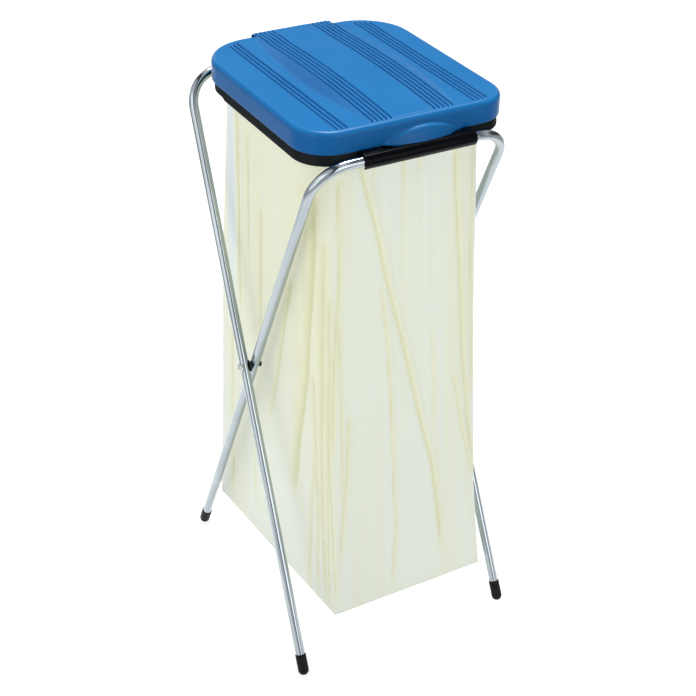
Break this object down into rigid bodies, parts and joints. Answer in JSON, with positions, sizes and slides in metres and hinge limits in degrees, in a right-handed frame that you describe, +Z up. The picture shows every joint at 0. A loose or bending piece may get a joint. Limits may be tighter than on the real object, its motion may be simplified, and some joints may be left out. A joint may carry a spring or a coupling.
{
  "type": "waste sack stand",
  "caption": "Folding waste sack stand: crossed chromed tube legs, a plastic ring that clamps the sack's mouth, and a hinged moulded lid",
  "frame": {"origin": "on the floor, at the bottom centre of the whole stand's box", "axes": "+X to the right of a person facing the stand's front clip, +Y to the rear, where the lid is hinged, +Z up"},
  "size_m": [0.4266, 0.4815, 0.9995],
  "materials": {
    "chrome_tube": "polished",
    "foot_rubber": "satin",
    "zinc_steel": "zinc plated",
    "black_nylon": "satin",
    "ring_plastic": "fine moulded grain",
    "clip_plastic": "gloss",
    "sack_film": "thin cream film",
    "lid_plastic": "semi-gloss moulded"
  },
  "bodies": {
    "outer_frame": {"outer_tube_frame": "chrome_tube", "front_foot_cap_left": "foot_rubber", "front_foot_cap_right": "foot_rubber", "pivot_bolt_left": "zinc_steel", "pivot_bolt_right": "zinc_steel", "pivot_head_washer_left": "zinc_steel", "pivot_head_washer_right": "zinc_steel", "pivot_spacer_left": "black_nylon", "pivot_spacer_right": "black_nylon", "pivot_cap_nut_left": "black_nylon", "pivot_cap_nut_right": "black_nylon"},
    "inner_frame": {"inner_tube_frame": "chrome_tube", "rear_foot_cap_left": "foot_rubber", "rear_foot_cap_right": "foot_rubber"},
    "ring": {"bag_ring": "ring_plastic", "bag_clamp_hoop": "ring_plastic", "front_clip": "clip_plastic", "front_clip_screws": "zinc_steel", "rear_saddle_left": "clip_plastic", "rear_saddle_right": "clip_plastic", "rear_saddle_screws": "zinc_steel", "bag": "sack_film"},
    "lid": {"lid_shell": "lid_plastic"}
  },
  "joints": [
    {"name": "frame_fold", "type": "hinge", "parent": "outer_frame", "child": "inner_frame", "pos_m": [0, 0.00424, 0.50395], "axis": [-1, 0, 0], "range_deg": [0, 46], "deforming": ["bag"]},
    {"name": "ring_swing", "type": "hinge", "parent": "outer_frame", "child": "ring", "pos_m": [0, 0.216, 0.95], "axis": [-1, 0, 0], "range_deg": [0, 105]},
    {"name": "lid_hinge", "type": "hinge", "parent": "ring", "child": "lid", "pos_m": [0, 0.216, 0.95], "axis": [1, 0, 0], "range_deg": [-100, 0]}
  ],
  "couplings": [
    {"joint": "ring_swing", "follows": "frame_fold", "ratio": 2.28}
  ]
}
